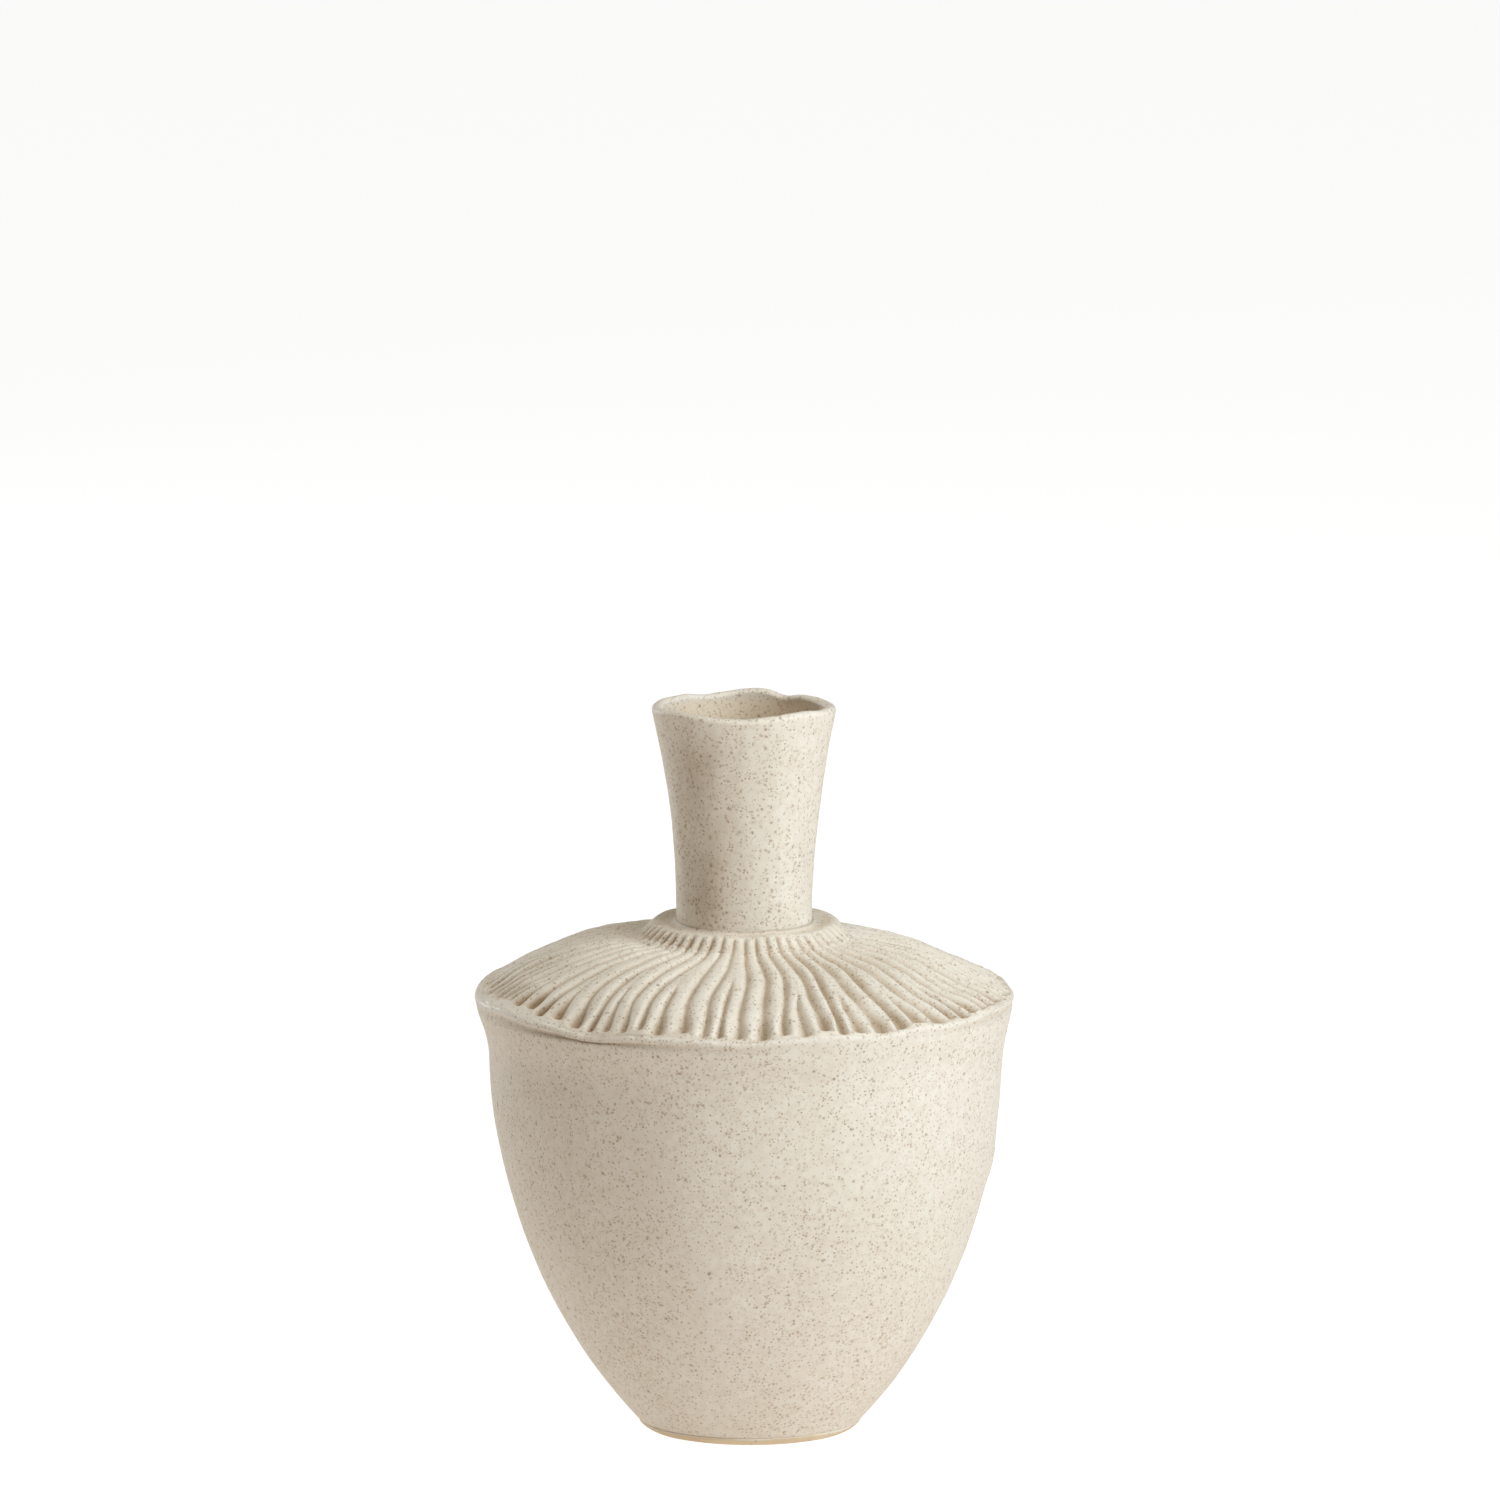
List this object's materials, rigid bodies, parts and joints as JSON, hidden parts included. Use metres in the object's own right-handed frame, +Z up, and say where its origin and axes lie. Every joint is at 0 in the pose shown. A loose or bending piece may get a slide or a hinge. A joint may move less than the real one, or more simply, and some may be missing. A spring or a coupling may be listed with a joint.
{
  "type": "pottery vase",
  "caption": "Hand-built speckled cream stoneware vase: round bowl tapering to a slab foot, wavy gilled shoulder, and a flared neck standing in a raised ring.",
  "frame": {"origin": "centre of the flat resting face under the foot", "axes": "+Z up through the neck, -Y towards the front, +X to the front view's right"},
  "size_m": [0.2148, 0.2152, 0.2926],
  "materials": {
    "toasted_foot": "matte unglazed stoneware, toasted tan",
    "bowl_glaze": "satin-matte cream glaze with iron speckle",
    "shoulder_glaze": "satin-matte cream glaze, browner in the grooves",
    "ring_glaze": "satin-matte cream glaze with iron speckle",
    "neck_glaze": "satin-matte cream glaze with denser iron speckle",
    "bare_clay": "bare buff stoneware, matte"
  },
  "bodies": {
    "root": {"foot_disc": "toasted_foot", "bowl_wall": "bowl_glaze", "foot_coil": "bare_clay", "shoulder_coil": "bare_clay", "shoulder_cap": "shoulder_glaze", "neck_collar": "ring_glaze", "neck_tube": "neck_glaze"}
  },
  "joints": []
}
